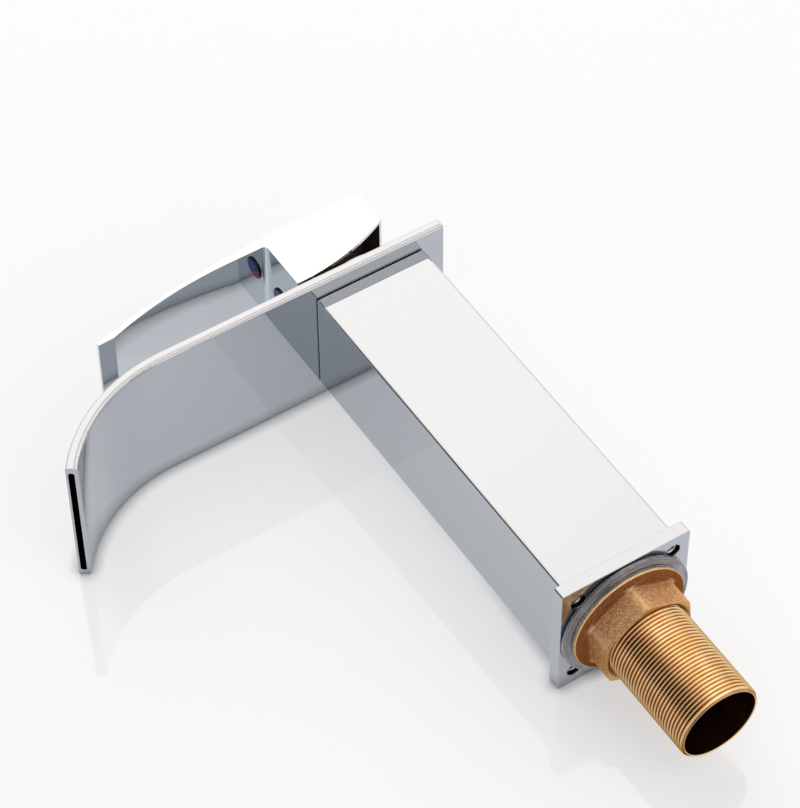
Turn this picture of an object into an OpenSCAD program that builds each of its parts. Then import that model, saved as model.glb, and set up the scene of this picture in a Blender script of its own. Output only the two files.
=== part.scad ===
// Single-lever waterfall basin faucet with a square column.
// The centre of the base flange's underside is the origin, +Z runs up the column,
// and the spout points along -Y.

/* [Column] */
// Width of the square column
column_w = 46; // [44:0.5:56]
// Height of the column's top above the deck
column_top = 161; // [130:1:200]
// Thickness of the column's side walls
column_wall = 3; // [2.5:0.25:3.5]
// Radius of the column's upright edges
column_edge_r = 0.8; // [0.4:0.1:1.5]
// Depth of the solid valve head at the top of the column
head_depth = 43; // [40:1:60]

/* [Base flange] */
// Width of the square base flange
flange_w = 53; // [51:0.5:64]
// Thickness of the base flange
flange_t = 5; // [4.5:0.25:7]
// Height of the round spigot that centres the column on the flange
spigot_h = 6; // [4:0.5:9]
// Distance from the column's centre planes to the flange screws
screw_offset = 19.5; // [19:0.1:19.8]
// Radius of the counterbores for the screw heads
counterbore_r = 3.2; // [3:0.1:3.4]
// Depth of the counterbores
counterbore_depth = 3.4; // [3:0.1:3.8]

/* [Flange screws] */
// Radius of the screw shanks
screw_r = 1.5; // [1.2:0.1:1.8]
// Length of the screw shanks
screw_l = 12; // [8:0.5:16]
// Radius of the screw heads
screw_head_r = 2.8; // [2.4:0.1:2.9]
// Height of the screw heads
screw_head_h = 2.2; // [1.8:0.1:2.6]
// Width across the flats of the socket in the screw heads
screw_socket_w = 2.5; // [2:0.1:3]

/* [Shank] */
// Outer radius of the threaded shank
shank_r = 16; // [14.5:0.25:16.5]
// Wall of the threaded shank
shank_wall = 1.4; // [1:0.1:2]
// Length of the shank below the deck face
shank_drop = 56; // [45:1:80]
// Pitch of the shank's thread
thread_pitch = 1.5; // [1:0.25:2]
// Turns of the thread that each groove round the shank stands for
groove_turns = 3; // [2:1:4]

/* [Mounting nut and seal ring] */
// Outer radius of the silicone ring's bead
ring_r = 26.3; // [25:0.1:27]
// Height of the ring's bead
ring_bead_t = 2; // [1.4:0.1:3]
// Further height of the ring's lip, which lies on the nut
ring_lip_t = 0.6; // [0.3:0.1:1.2]
// Radius of the nut's round flange
nut_flange_r = 23; // [21.5:0.1:24]
// Thickness of the nut's round flange at its rim
nut_rim_t = 0.9; // [0.6:0.1:1.4]
// Height of the cone from the rim up to the hexagon
nut_cone_t = 1.2; // [0.8:0.1:2.5]
// Wall of the nut at the middle of its flats
nut_wall = 1.35; // [1.2:0.05:2.5]
// Height of the nut's hexagon
nut_hex_h = 10.3; // [8:0.1:14]
// Depth to which the hexagon's sharp corners are turned off
nut_corner_cut = 0.5; // [0.2:0.1:1]
// Angle at which the nut's hexagon stands at rest
nut_angle = -5; // [-30:1:30]

/* [Spout] */
// Width of the spout plate
spout_w = 60; // [58:1:80]
// Thickness of the hollow spout's upper skin
spout_skin = 0.8; // [0.6:0.1:1.2]
// Height of the water slot
slot_h = 2.3; // [1.8:0.1:3]
// Thickness of the spout's floor plate
spout_floor_t = 1.4; // [1:0.1:2]
// Width of the solid rims beside the water slot
slot_rim = 2.2; // [1.8:0.1:3]
// Distance that the spout reaches behind the column's centre
spout_back = 32; // [30:0.5:40]
// Distance from the column's centre to the start of the spout's bend
spout_run = 86; // [60:1:110]
// Radius of the bend on the spout's underside
bend_r = 61; // [45:1:90]
// Angle through which the spout bends down
bend_angle = 56; // [40:1:65]
// Radius of the spout's long edges
spout_edge_r = 0.7; // [0.3:0.1:0.8]
// Radius of the two water channels from the valve head to the spout
riser_r = 2.4; // [1.8:0.1:2.5]

/* [Collar and bonnet] */
// Outer radius of the threaded collar on the valve head
collar_r = 20; // [19.6:0.1:20.4]
// Height of the collar above the spout
collar_h = 4.6; // [4:0.1:5]
// Outer radius of the bonnet
bonnet_r = 22.2; // [21.8:0.1:24]
// Height of the bonnet above the spout
bonnet_h = 6.4; // [6.2:0.1:6.8]
// Radius of the bonnet's rounded shoulder
bonnet_edge_r = 2; // [1.5:0.1:2.2]

/* [Cartridge] */
// Outer radius of the cartridge
cartridge_r = 17.4; // [17.2:0.05:17.5]
// Depth of the cartridge pocket below the top of the spout
pocket_depth = 23; // [22.8:0.1:23.4]
// Height of the lever's pivot above the pocket floor
pivot_h = 20; // [19.6:0.05:20.2]
// Radius of the pivot pin
pin_r = 1.5; // [1.2:0.1:1.6]
// Distance of the inlet ports from the cartridge's centre plane
inlet_x = 6.8; // [6.6:0.1:7]
// Distance of the inlet ports in front of the cartridge's centre
inlet_y = 4.5; // [4.3:0.1:4.6]
// Distance of the outlet port behind the cartridge's centre
outlet_y = 4.2; // [4:0.1:4.4]
// Radius of the threaded inlets for the supply hoses
inlet_thread_r = 5; // [4:0.5:5]
// Depth of the threaded inlets
inlet_depth = 10; // [8:0.5:12]
// Radius of the ports in the cartridge's foot
port_r = 2.4; // [2:0.1:2.5]

/* [Lever handle] */
// Width of the handle block and of the lever
handle_w = 41; // [40:0.5:46]
// Distance from the column's centre to the front of the handle block
block_front = 23.6; // [23:0.1:27]
// Distance from the column's centre to the rear of the handle block
block_back = 19.6; // [19.2:0.1:24]
// Gap between the spout and the front of the handle block
block_gap = 8; // [7.5:0.1:10]
// Height of the front of the handle block, up to the lever
block_h = 22.5; // [22:0.5:28]
// Thickness of the roof of the handle block
roof_t = 4.5; // [3.5:0.25:6]
// Thickness of the walls of the handle block
block_wall = 1.5; // [1.3:0.1:2.4]
// Rise of the block's arched lower edge from its front to its rear
arch_rise = 10.6; // [9:0.1:12]
// Distance from the column's centre to the lever's tip
lever_reach = 99.5; // [80:0.5:120]
// Length of the flat fingertip lip at the lever's tip
lip_l = 6.8; // [4:0.2:10]
// Drop of the lever's underside from the block to the lip
lever_drop = 8.6; // [5:0.2:12]
// Thickness of the lever at its tip
lip_t = 1.4; // [1:0.1:2.5]
// Side of the square spindle
spindle_w = 8; // [7:0.25:8.5]
// Radius of the index plug
plug_r = 4.5; // [3.5:0.1:5]

/* [Fits] */
// Radial clearance between pieces that turn in each other
running_gap = 0.05; // [0.03:0.01:0.08]
// Clearance between fixed pieces that slip into each other
slip_gap = 0.2; // [0.1:0.05:0.3]
// Clearance between the mounting pieces at rest
seat_gap = 0.2; // [0.1:0.05:0.4]
// Thickness of the flat spout gasket
gasket_t = 0.5; // [0.3:0.1:1]

/* [Hidden] */

// Facets of round faces, of large radii and of small rounds
$fn = 96;
large_fn = 360;
small_fn = 32;
// Overrun of every cut past the face that it opens
over = 1;

// Corner directions of a square, and the two sides
corners = [[1, 1], [1, -1], [-1, -1], [-1, 1]];
sides = [-1, 1];

// Spout plate, from the gasket up
spout_t = spout_floor_t + slot_h + spout_skin;
spout_z = column_top + gasket_t;
deck_top = spout_z + spout_t;
slot_w = spout_w - 2 * slot_rim;
shell_t = slot_h + spout_skin;

// Column
cavity_w = column_w - 2 * column_wall;
head_z = column_top - head_depth;
boss_r = 4;
boss_h = 14;
tap_depth = 11;
gasket_inset = 0.7;

// Flange
spigot_r = cavity_w / 2 - slip_gap;
shank_top = flange_t + spigot_h;
shank_bore_r = shank_r - shank_wall;

// Thread grooves of the shank, with the shares of their spacing that flank and root take
thread_depth_share = 0.6;
thread_wall_share = 0.6;
groove_flank_share = 0.2;
groove_root_share = 0.2;
shank_lead = 1;
thread_depth = min(thread_depth_share * thread_pitch, thread_wall_share * shank_wall);
groove_pitch = groove_turns * thread_pitch;
groove_flank = groove_flank_share * groove_pitch;
groove_w = 2 * groove_flank + groove_root_share * groove_pitch;
groove_room = shank_drop - shank_lead - groove_w - 2 * thread_depth;
grooves = floor(groove_room / groove_pitch) + 1;

// Valve head: collar, cartridge pocket and water channels
pocket_z = deck_top - pocket_depth;
pocket_r = cartridge_r + slip_gap;
collar_top = deck_top + collar_h;
collar_wall = 1.5;
nut_thread_r = collar_r - collar_wall;
seal_groove_h = 2;
seal_groove_depth = 1.2;
seal_groove_r = collar_r - seal_groove_depth;
seal_groove_z = spout_z + spout_t / 2 - seal_groove_h / 2;
riser_wall = 2.1;
riser_xy = column_w / 2 - riser_r - riser_wall;
gallery_drop = 7;
gallery_z = pocket_z - gallery_drop;
locating_pin_r = 1.9;
locating_pin_l = 2;
locating_pin_x = 11;

// Ring wall round the spout's hole for the collar
spout_hole_r = collar_r + slip_gap;
spout_ring_wall = 1.6;
spout_ring_r = spout_hole_r + spout_ring_wall;
spout_cavity_back = 10;
// Further angle of the cut for the water slot at the spout's mouth
mouth_angle = 1;

// Cartridge levels, from the pocket floor up
seal_proud = 0.3;
disc_seal_proud = 0.2;
base_h = 6;
base_recess = 2;
disc_t = 3.5;
fixed_disc_r = 13;
moving_disc_r = 10.4;
coupler_t = 3.5;
disc_gap = 0.05;
base_z = pocket_z + seal_proud;
fixed_disc_z = base_z + base_h - base_recess + disc_seal_proud;
moving_disc_z = fixed_disc_z + disc_t + disc_gap;
coupler_z = moving_disc_z + disc_t;
pivot_z = pocket_z + pivot_h;
carrier_gap = 0.3;
carrier_z = coupler_z + coupler_t + carrier_gap;

// Seats of the port seals, and the mixing chamber in the moving disc
seal_seat = 1.2;
port_seal_wall = 1;
port_seal_r = port_r + port_seal_wall;
mixing_r = 5.2;
mixing_side = 3.2;
mixing_shift = 2.65;

// Cartridge shell and carrier
housing_wall = 2.7;
housing_bore_r = cartridge_r - housing_wall;
neck_r = 13.2;
neck_bore_r = 11.6;
housing_shoulder_t = 1.6;
nut_seat_h = 1;
nut_seat_z = deck_top + nut_seat_h;
housing_proud = 0.9;
housing_top = collar_top + housing_proud;
carrier_shoulder_z = nut_seat_z - housing_shoulder_t - carrier_gap;
carrier_r = housing_bore_r - running_gap;
carrier_neck_r = neck_bore_r - running_gap;
carrier_top = housing_top - carrier_gap;
carrier_slot_front = 4.7;
carrier_slot_back = 9.4;

// Retaining nut
retaining_nut_bore_r = neck_r + slip_gap;
retaining_nut_t = collar_top - nut_seat_z;
nut_notch_w = 3;
nut_notch_depth = 1.4;
// Opening of the bonnet round the cartridge's neck
bonnet_bore_gap = 1.4;
bonnet_bore_r = neck_r + bonnet_bore_gap;
bonnet_lip_z = collar_h + slip_gap;

// Handle
handle_low = deck_top + block_gap;
roof_low = handle_low + block_h;
handle_top = roof_low + roof_t;
handle_fillet_r = 1.8;
arch_r = arc_radius(block_front + block_back, arch_rise);
boss_lift = 5.2;
boss_low = handle_low + boss_lift;
handle_boss_r = 8;
plug_height_share = 0.58;
plug_z = handle_low + plug_height_share * block_h;
plug_proud = 0.3;
set_screw_r = 2.5;
set_screw_l = 8;
socket_w = 2.5;
socket_depth = 3;

// Spindle, from its ball in the coupler up into the handle's boss
ball_r = 2.2;
ball_gap = 0.15;
ball_z = coupler_z + ball_r + slip_gap;
stem_r = 1.6;
hub_r = 3.4;
spindle_cover = 3.5;
spindle_top = roof_low - spindle_cover;

// Seal ring and mounting nut
ring_t = ring_bead_t + ring_lip_t;
ring_bore_r = shank_r + 2 * slip_gap;
ring_lip_r = nut_flange_r - slip_gap;
nut_top = -2 * seat_gap - ring_t;
nut_body_h = nut_rim_t + nut_cone_t + nut_hex_h;
nut_bore_r = shank_r + running_gap;
nut_flat_r = nut_bore_r + nut_wall;
nut_sharp_r = nut_flat_r / cos(30);
nut_corner_r = nut_sharp_r - nut_corner_cut;

// Lever's lines, from its sizes
lever_flat = 16;
under_bend_y = -(block_front + lever_flat);
kink_y = -(lever_reach - lip_l);
kink_z = roof_low - lever_drop;
lip_fall = 0.3;
lip_z = kink_z - lip_fall;
under_bend_r = arc_radius(under_bend_y - kink_y, lever_drop);
top_bend_y = -block_front + lever_flat;
tip_top_z = lip_z + lip_t;
top_bend_r = arc_radius(top_bend_y + lever_reach, handle_top - tip_top_z);

// Radius of an arc that starts flat and falls by drop over the distance run
function arc_radius(run, drop) = (run * run + drop * drop) / (2 * drop);

// Square with rounded corners, made of true arcs
module rounded_square(w, r) {
    square([w - 2 * r, w], center = true);
    square([w, w - 2 * r], center = true);
    for (c = corners)
        translate((w / 2 - r) * c) circle(r = r, $fn = small_fn);
}

// Upright ring between two radii
module tube(z, h, outer_r, inner_r) {
    translate([0, 0, z])
        difference() {
            cylinder(h = h, r = outer_r);
            translate([0, 0, -over]) cylinder(h = h + 2 * over, r = inner_r);
        }
}

// Places its children at the four flange screws
module at_screws() {
    for (c = corners)
        translate([screw_offset * c.x, screw_offset * c.y, 0]) children();
}

// Places its children at the two inlets
module at_inlets() {
    for (side = sides)
        translate([side * inlet_x, -inlet_y, 0]) children();
}

// Places its children at the two risers
module at_risers() {
    for (side = sides)
        translate([side * riser_xy, -riser_xy, 0]) children();
}

module body_column() {
    color("gainsboro")
    difference() {
        union() {
            translate([0, 0, flange_t])
                linear_extrude(column_top - flange_t) rounded_square(column_w, column_edge_r);
            translate([0, 0, column_top - over])
                cylinder(h = collar_top - column_top + over, r = collar_r);
        }
        // Hollow lower part, apart from the corner bosses
        difference() {
            translate([-cavity_w / 2, -cavity_w / 2, flange_t - over])
                cube([cavity_w, cavity_w, head_z - flange_t + over]);
            at_screws()
                translate([0, 0, flange_t - 2 * over]) cylinder(h = boss_h + 2 * over, r = boss_r);
        }
        // Tapped holes for the flange screws
        at_screws()
            translate([0, 0, flange_t - over]) cylinder(h = tap_depth + over, r = screw_r);
        // Cartridge pocket, with the wider seat of the retaining nut
        translate([0, 0, pocket_z]) cylinder(h = collar_top - pocket_z + over, r = pocket_r);
        translate([0, 0, nut_seat_z]) cylinder(h = retaining_nut_t + over, r = nut_thread_r);
        // Threaded inlets and the ways up to the pocket
        at_inlets() {
            translate([0, 0, head_z - over]) cylinder(h = inlet_depth + over, r = inlet_thread_r);
            translate([0, 0, head_z]) cylinder(h = pocket_z - head_z + over, r = port_r);
        }
        // Outlet way: down from the pocket, out to both sides, forward and up the two risers
        translate([0, outlet_y, gallery_z]) cylinder(h = pocket_z - gallery_z + over, r = port_r);
        translate([-riser_xy, outlet_y, gallery_z])
            rotate([0, 90, 0]) cylinder(h = 2 * riser_xy, r = riser_r);
        at_risers() {
            translate([0, 0, gallery_z])
                rotate([-90, 0, 0]) cylinder(h = riser_xy + outlet_y, r = riser_r);
            translate([0, 0, gallery_z]) cylinder(h = column_top - gallery_z + over, r = riser_r);
        }
        // Blind holes for the cartridge's locating pins
        locating_pins(pocket_z - locating_pin_l - slip_gap, locating_pin_l + slip_gap + over, slip_gap);
        // Groove of the collar seal
        tube(seal_groove_z, seal_groove_h, collar_r + over, seal_groove_r);
    }
}

// Pins that turn the cartridge the right way round, or their holes
module locating_pins(z, h, gap) {
    for (side = sides)
        translate([side * locating_pin_x, inlet_y, z]) cylinder(h = h, r = locating_pin_r + gap);
}

module base_flange() {
    color("silver")
    difference() {
        union() {
            linear_extrude(flange_t) rounded_square(flange_w, column_edge_r);
            cylinder(h = shank_top, r = spigot_r);
        }
        translate([0, 0, -over]) cylinder(h = shank_top + 2 * over, r = shank_r);
        at_screws() {
            translate([0, 0, -over]) cylinder(h = flange_t + 2 * over, r = screw_r);
            translate([0, 0, -over]) cylinder(h = counterbore_depth + over, r = counterbore_r);
        }
    }
}

module flange_screws() {
    color("lightgray")
    at_screws()
        difference() {
            union() {
                translate([0, 0, counterbore_depth]) cylinder(h = screw_l, r = screw_r);
                translate([0, 0, counterbore_depth - screw_head_h])
                    cylinder(h = screw_head_h, r = screw_head_r);
            }
            translate([0, 0, counterbore_depth - screw_head_h - over])
                cylinder(h = screw_head_h / 2 + over, r = screw_socket_w / 2 / cos(30), $fn = 6);
        }
}

// One groove in the shank's profile, from its lower edge to its upper edge at height z
function groove_outline(z) = [
    [shank_r, z - groove_w],
    [shank_r - thread_depth, z - groove_w + groove_flank],
    [shank_r - thread_depth, z - groove_flank],
    [shank_r, z]
];

module shank() {
    foot = [
        [shank_bore_r, -shank_drop],
        [shank_r - thread_depth, -shank_drop],
        [shank_r, -shank_drop + thread_depth]
    ];
    thread = [
        for (k = [grooves - 1 : -1 : 0])
            for (point = groove_outline(-shank_lead - k * groove_pitch))
                point
    ];
    head = [
        [shank_r, shank_top],
        [shank_bore_r, shank_top]
    ];
    color("goldenrod")
    rotate_extrude()
        polygon(concat(foot, thread, head));
}

// Cross-section of the shell's upper part: x across the spout, y up from the floor plate
module shell_section() {
    r = spout_edge_r;
    translate([-spout_w / 2, 0]) square([spout_w, shell_t - r]);
    translate([-spout_w / 2 + r, 0]) square([spout_w - 2 * r, shell_t]);
    for (side = sides)
        translate([side * (spout_w / 2 - r), shell_t - r]) circle(r = r, $fn = small_fn);
}

// Cross-section of the floor plate: x across the spout, y up from its underside
module floor_section() {
    r = spout_edge_r;
    translate([-spout_w / 2, r]) square([spout_w, spout_floor_t - r]);
    translate([-spout_w / 2 + r, 0]) square([spout_w - 2 * r, spout_floor_t]);
    for (side = sides)
        translate([side * (spout_w / 2 - r), r]) circle(r = r, $fn = small_fn);
}

// Cross-section of the water slot, with rounded ends
module slot_section() {
    square_w = slot_w - slot_h;
    translate([-square_w / 2, 0]) square([square_w, slot_h]);
    for (side = sides)
        translate([side * square_w / 2, slot_h / 2]) circle(r = slot_h / 2, $fn = small_fn);
}

// Carries the section that is its child along the straight run, from y = back to the bend
module along_run(height, back) {
    translate([0, back, spout_z + height])
        rotate([90, 0, 0]) linear_extrude(back + spout_run) children();
}

// Carries the section that is its child round the bend, past it by a further angle
module along_bend(height, further = 0) {
    translate([0, -spout_run, spout_z - bend_r])
        rotate([0, -90, 0])
            mirror([0, 1, 0])
                rotate_extrude(angle = bend_angle + further, $fn = large_fn)
                    translate([bend_r + height, 0]) rotate([0, 0, -90]) children();
}

module spout_shell() {
    color("whitesmoke")
    difference() {
        union() {
            along_run(spout_floor_t, spout_back) shell_section();
            along_bend(spout_floor_t) shell_section();
        }
        // Water space: open to the floor plate, round the collar's ring wall
        difference() {
            union() {
                along_run(spout_floor_t, -spout_cavity_back) slot_section();
                along_bend(spout_floor_t, mouth_angle) slot_section();
            }
            translate([0, 0, spout_z]) cylinder(h = spout_t, r = spout_ring_r);
        }
        translate([0, 0, spout_z]) cylinder(h = spout_t + over, r = spout_hole_r);
    }
}

module spout_floor() {
    color("white")
    difference() {
        union() {
            along_run(0, spout_back) floor_section();
            along_bend(0) floor_section();
        }
        translate([0, 0, spout_z - over]) cylinder(h = spout_t, r = spout_hole_r);
        at_risers()
            translate([0, 0, spout_z - over]) cylinder(h = spout_t, r = riser_r);
    }
}

module spout_gasket() {
    color("dimgray")
    translate([0, 0, column_top])
        difference() {
            linear_extrude(gasket_t) rounded_square(column_w - 2 * gasket_inset, column_edge_r);
            translate([0, 0, -over]) cylinder(h = gasket_t + 2 * over, r = spout_hole_r);
            at_risers()
                translate([0, 0, -over]) cylinder(h = gasket_t + 2 * over, r = riser_r);
        }
}

module collar_seal() {
    color("black")
    tube(seal_groove_z + seal_proud / 2, seal_groove_h - seal_proud, spout_hole_r, seal_groove_r);
}

module bonnet() {
    r = bonnet_edge_r;
    color("gainsboro")
    translate([0, 0, deck_top])
        rotate_extrude()
            union() {
                translate([collar_r, 0]) square([bonnet_r - collar_r, bonnet_h - r]);
                translate([bonnet_bore_r, bonnet_lip_z])
                    square([bonnet_r - r - bonnet_bore_r, bonnet_h - bonnet_lip_z]);
                intersection() {
                    translate([bonnet_r - r, bonnet_h - r]) circle(r = r);
                    translate([bonnet_r - r, bonnet_h - r]) square([r, r]);
                }
            }
}

module retaining_nut() {
    color("darkgoldenrod")
    difference() {
        tube(nut_seat_z, retaining_nut_t, nut_thread_r, retaining_nut_bore_r);
        for (turn = [0 : 60 : 300])
            rotate([0, 0, turn])
                translate([nut_thread_r - nut_notch_depth, -nut_notch_w / 2, nut_seat_z + nut_notch_depth])
                    cube([nut_notch_depth + over, nut_notch_w, retaining_nut_t]);
    }
}

module cartridge_housing() {
    color("ivory")
    difference() {
        union() {
            translate([0, 0, base_z + base_h / 2])
                cylinder(h = nut_seat_z - base_z - base_h / 2, r = cartridge_r);
            translate([0, 0, nut_seat_z - over])
                cylinder(h = housing_top - nut_seat_z + over, r = neck_r);
        }
        translate([0, 0, base_z])
            cylinder(h = nut_seat_z - housing_shoulder_t - base_z, r = housing_bore_r);
        translate([0, 0, base_z]) cylinder(h = housing_top, r = neck_bore_r);
    }
}

// Places its children at the three ports
module at_ports() {
    at_inlets() children();
    translate([0, outlet_y, 0]) children();
}

module cartridge_base() {
    color("white")
    difference() {
        union() {
            translate([0, 0, base_z]) cylinder(h = base_h / 2, r = cartridge_r);
            translate([0, 0, base_z]) cylinder(h = base_h, r = housing_bore_r);
            locating_pins(pocket_z - locating_pin_l, locating_pin_l + 2 * seal_proud, 0);
        }
        translate([0, 0, base_z + base_h - base_recess]) cylinder(h = base_recess + over, r = fixed_disc_r);
        at_ports() {
            translate([0, 0, base_z - over]) cylinder(h = base_h + 2 * over, r = port_r);
            translate([0, 0, base_z - over]) cylinder(h = seal_seat + over, r = port_seal_r);
            translate([0, 0, base_z + base_h - base_recess - seal_seat])
                cylinder(h = seal_seat + over, r = port_seal_r);
        }
    }
}

module port_seals() {
    color("black")
    at_ports() tube(pocket_z, seal_seat + seal_proud, port_seal_r, port_r);
}

module disc_seals() {
    color("black")
    at_ports() tube(fixed_disc_z - disc_seal_proud - seal_seat, seal_seat + disc_seal_proud, port_seal_r, port_r);
}

module fixed_disc() {
    color("snow")
    difference() {
        translate([0, 0, fixed_disc_z]) cylinder(h = disc_t, r = fixed_disc_r - slip_gap);
        at_ports() translate([0, 0, fixed_disc_z - over]) cylinder(h = disc_t + 2 * over, r = port_r);
    }
}

module moving_disc() {
    color("floralwhite")
    difference() {
        translate([0, 0, moving_disc_z]) cylinder(h = disc_t, r = moving_disc_r);
        // Mixing chamber, open towards the fixed disc: it reaches the inlets when the lever lifts
        translate([0, mixing_shift, moving_disc_z - over]) linear_extrude(disc_t / 2 + over) {
            square([2 * mixing_side, 2 * mixing_r], center = true);
            for (side = sides)
                translate([side * mixing_side, 0]) circle(r = mixing_r);
        }
    }
}

module disc_coupler() {
    color("white")
    difference() {
        translate([0, 0, coupler_z]) cylinder(h = coupler_t, r = moving_disc_r);
        translate([0, 0, coupler_z - over])
            cylinder(h = coupler_t + 2 * over, r = ball_r + ball_gap);
    }
}

module turning_carrier() {
    color("ivory")
    difference() {
        union() {
            translate([0, 0, carrier_z]) cylinder(h = carrier_shoulder_z - carrier_z, r = carrier_r);
            translate([0, 0, carrier_z]) cylinder(h = carrier_top - carrier_z, r = carrier_neck_r);
        }
        translate([-spindle_w / 2 - slip_gap, -carrier_slot_front, carrier_z - over])
            cube([spindle_w + 2 * slip_gap, carrier_slot_front + carrier_slot_back, carrier_top - carrier_z + 2 * over]);
        translate([-carrier_r - over, 0, pivot_z])
            rotate([0, 90, 0]) cylinder(h = 2 * (carrier_r + over), r = pin_r);
    }
}

module pivot_pin() {
    color("silver")
    translate([-carrier_r + slip_gap, 0, pivot_z])
        rotate([0, 90, 0]) cylinder(h = 2 * (carrier_r - slip_gap), r = pin_r);
}

module spindle() {
    color("darkgoldenrod")
    difference() {
        union() {
            translate([-spindle_w / 2, -spindle_w / 2, pivot_z])
                cube([spindle_w, spindle_w, spindle_top - pivot_z]);
            translate([-spindle_w / 2, 0, pivot_z]) rotate([0, 90, 0]) cylinder(h = spindle_w, r = hub_r);
            translate([0, 0, ball_z]) cylinder(h = pivot_z - ball_z, r = stem_r);
            translate([0, 0, ball_z]) sphere(r = ball_r);
        }
        translate([-spindle_w / 2 - over, 0, pivot_z])
            rotate([0, 90, 0]) cylinder(h = spindle_w + 2 * over, r = pin_r + running_gap);
    }
}

// Side outline of the lever and the block's roof: x is the part's y, y is its z
module lever_outline() {
    difference() {
        union() {
            translate([top_bend_y, lip_z]) square([block_back - top_bend_y, handle_top - lip_z]);
            intersection() {
                translate([top_bend_y, handle_top - top_bend_r]) circle(r = top_bend_r, $fn = large_fn);
                translate([-lever_reach, lip_z])
                    square([top_bend_y + lever_reach + over, handle_top - lip_z]);
            }
        }
        // Space under the flat run, under the bend and under the lip
        translate([under_bend_y, lip_z - over])
            square([block_back - under_bend_y + over, roof_low - lip_z + over]);
        intersection() {
            translate([under_bend_y, roof_low - under_bend_r]) circle(r = under_bend_r, $fn = large_fn);
            translate([kink_y, lip_z - over]) square([under_bend_y - kink_y, roof_low - lip_z + over]);
        }
        polygon([
            [kink_y, kink_z], [-lever_reach - over, lip_z - lip_fall * over / lip_l],
            [-lever_reach - over, lip_z - over], [kink_y, lip_z - over]
        ]);
    }
    // Fillet between the lever's underside and the front of the block
    translate([-block_front - handle_fillet_r, roof_low - handle_fillet_r])
        difference() {
            square([handle_fillet_r + over, handle_fillet_r + over]);
            circle(r = handle_fillet_r);
        }
}

// Walls of the handle block, cut to an arch below
module block_walls() {
    intersection() {
        difference() {
            translate([-handle_w / 2, -block_front, handle_low])
                cube([handle_w, block_front + block_back, block_h + over]);
            translate([-handle_w / 2 + block_wall, -block_front + block_wall, handle_low - over])
                cube([handle_w - 2 * block_wall, block_front + block_back - 2 * block_wall, block_h + over]);
        }
        translate([-handle_w, -block_front, handle_low + arch_r])
            rotate([0, 90, 0]) cylinder(h = 2 * handle_w, r = arch_r, $fn = large_fn);
    }
}

module lever_handle() {
    color("gainsboro")
    difference() {
        union() {
            translate([-handle_w / 2, 0, 0])
                rotate([90, 0, 90]) linear_extrude(handle_w) lever_outline();
            block_walls();
            translate([0, 0, boss_low]) cylinder(h = roof_low - boss_low + over, r = handle_boss_r);
            translate([-set_screw_r - block_wall, -spindle_w / 2 - set_screw_l, boss_low])
                cube([2 * (set_screw_r + block_wall), set_screw_l, roof_low - boss_low + over]);
        }
        translate([-spindle_w / 2 - slip_gap, -spindle_w / 2 - slip_gap, boss_low - over])
            cube([spindle_w + 2 * slip_gap, spindle_w + 2 * slip_gap, spindle_top + slip_gap - boss_low + over]);
        translate([0, -spindle_w / 2, plug_z])
            rotate([90, 0, 0]) cylinder(h = set_screw_l + over, r = set_screw_r);
        translate([0, -block_front + block_wall + over, plug_z])
            rotate([90, 0, 0]) cylinder(h = block_wall + 2 * over, r = plug_r);
    }
}

module set_screw() {
    color("dimgray")
    translate([0, -spindle_w / 2, plug_z])
        rotate([90, 0, 0])
            difference() {
                cylinder(h = set_screw_l, r = set_screw_r);
                translate([0, 0, set_screw_l - socket_depth])
                    cylinder(h = socket_depth + over, r = socket_w / 2 / cos(30), $fn = 6);
            }
}

module index_plug() {
    color("royalblue")
    translate([0, -block_front + block_wall, plug_z])
        rotate([90, 0, 0]) cylinder(h = block_wall + plug_proud, r = plug_r);
}

module seal_ring() {
    bead_r = ring_bead_t / 2;
    color("lightsteelblue")
    translate([0, 0, -seat_gap - ring_t])
        rotate_extrude()
            union() {
                translate([ring_bore_r, 0]) square([ring_lip_r - ring_bore_r, ring_t]);
                translate([ring_bore_r, ring_lip_t])
                    square([ring_r - bead_r - ring_bore_r, ring_bead_t]);
                translate([ring_r - bead_r, ring_lip_t + bead_r]) circle(r = bead_r);
            }
}

module mounting_nut() {
    color("peru")
    translate([0, 0, nut_top - nut_body_h])
        difference() {
            union() {
                translate([0, 0, nut_hex_h + nut_cone_t]) cylinder(h = nut_rim_t, r = nut_flange_r);
                translate([0, 0, nut_hex_h])
                    cylinder(h = nut_cone_t, r1 = nut_corner_r, r2 = nut_flange_r);
                intersection() {
                    rotate([0, 0, nut_angle]) cylinder(h = nut_hex_h, r = nut_sharp_r, $fn = 6);
                    cylinder(h = nut_hex_h, r = nut_corner_r);
                }
            }
            translate([0, 0, -over]) cylinder(h = nut_body_h + 2 * over, r = nut_bore_r);
        }
}

body_column();
base_flange();
flange_screws();
shank();
spout_shell();
spout_floor();
spout_gasket();
collar_seal();
bonnet();
retaining_nut();
cartridge_housing();
cartridge_base();
port_seals();
disc_seals();
fixed_disc();
turning_carrier();
pivot_pin();
moving_disc();
disc_coupler();
spindle();
lever_handle();
set_screw();
index_plug();
seal_ring();
mounting_nut();
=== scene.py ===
"""Looks of a single-lever waterfall basin faucet: chrome, bare brass, silicone and ceramic.

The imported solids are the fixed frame. The chrome castings, the spout and the cartridge keep
their solids and get finishes. The threaded shank, the cast nut, the seal ring, the flange
screws, the bonnet and the index plug are modelled here and replace their plain solids. Lengths
are in millimetres up to the point where a mesh is written, which is in metres.
"""

import logging
import math
from dataclasses import dataclass
from enum import Enum
from typing import Any, Callable, Optional

import bmesh
import bpy
import numpy as np
from mathutils import Matrix


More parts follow.
